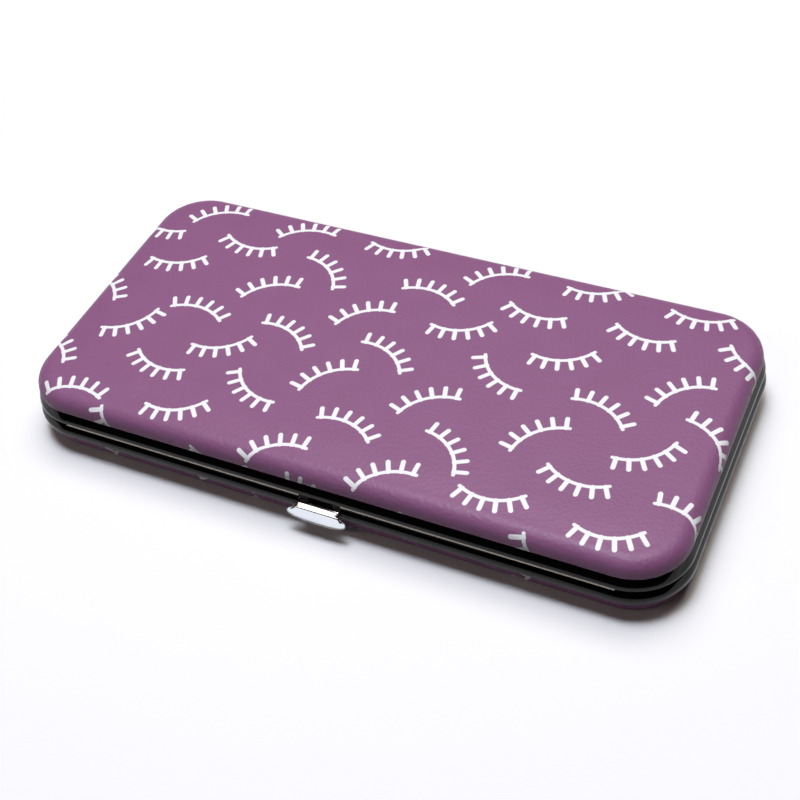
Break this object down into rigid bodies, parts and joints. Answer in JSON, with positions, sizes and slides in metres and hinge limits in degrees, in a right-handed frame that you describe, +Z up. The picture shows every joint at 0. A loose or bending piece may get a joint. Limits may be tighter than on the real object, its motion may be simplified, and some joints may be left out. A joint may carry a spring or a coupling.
{
  "type": "tweezer case",
  "caption": "Flat hinged hard case for tweezers: padded leatherette halves in lacquered channel frames, back butt hinges and a sprung front thumb clasp.",
  "frame": {"origin": "centre of the flat underside that the shut case rests on", "axes": "+X along the case, +Y from the clasp to the hinges, +Z up"},
  "size_m": [0.18, 0.0962, 0.0195],
  "materials": {
    "leatherette": "grained purple leatherette with a white print",
    "foam": "off-white polyurethane foam",
    "moulding": "dark moulded plastic",
    "magnet": "rubber-bonded magnetic sheet",
    "velvet": "black flocked velvet",
    "lacquer": "gloss black lacquer",
    "chrome": "polished chrome plate",
    "steel": "plain bright steel"
  },
  "bodies": {
    "base": {"base_cover": "leatherette", "base_padding": "foam", "base_shell": "moulding", "base_magnet_sheet": "magnet", "base_lining": "velvet", "base_frame": "lacquer", "clasp_bracket": "steel", "clasp_bracket_rivet_1": "steel", "clasp_bracket_rivet_2": "steel", "clasp_pin": "steel", "clasp_spring": "steel", "left_hinge_base_leaf": "lacquer", "left_hinge_pin": "steel", "left_hinge_base_leaf_rivet_1": "steel", "left_hinge_base_leaf_rivet_2": "steel", "right_hinge_base_leaf": "lacquer", "right_hinge_pin": "steel", "right_hinge_base_leaf_rivet_1": "steel", "right_hinge_base_leaf_rivet_2": "steel"},
    "lid": {"lid_cover": "leatherette", "lid_padding": "foam", "lid_shell": "moulding", "lid_foam_sheet": "foam", "lid_lining": "velvet", "lid_frame": "lacquer", "catch_keeper": "steel", "catch_keeper_rivet_1": "steel", "catch_keeper_rivet_2": "steel", "left_hinge_lid_leaf": "lacquer", "left_hinge_lid_leaf_rivet_1": "steel", "left_hinge_lid_leaf_rivet_2": "steel", "right_hinge_lid_leaf": "lacquer", "right_hinge_lid_leaf_rivet_1": "steel", "right_hinge_lid_leaf_rivet_2": "steel"},
    "clasp": {"clasp_lever": "chrome"}
  },
  "joints": [
    {"name": "lid_hinge", "type": "hinge", "parent": "base", "child": "lid", "pos_m": [0, 0.04665, 0.0105], "axis": [-1, 0, 0], "range_deg": [0, 180]},
    {"name": "clasp_press", "type": "hinge", "parent": "base", "child": "clasp", "pos_m": [0, -0.0428, 0.008], "axis": [1, 0, 0], "range_deg": [0, 10], "stiffness_Nm_per_rad": 0.05}
  ]
}
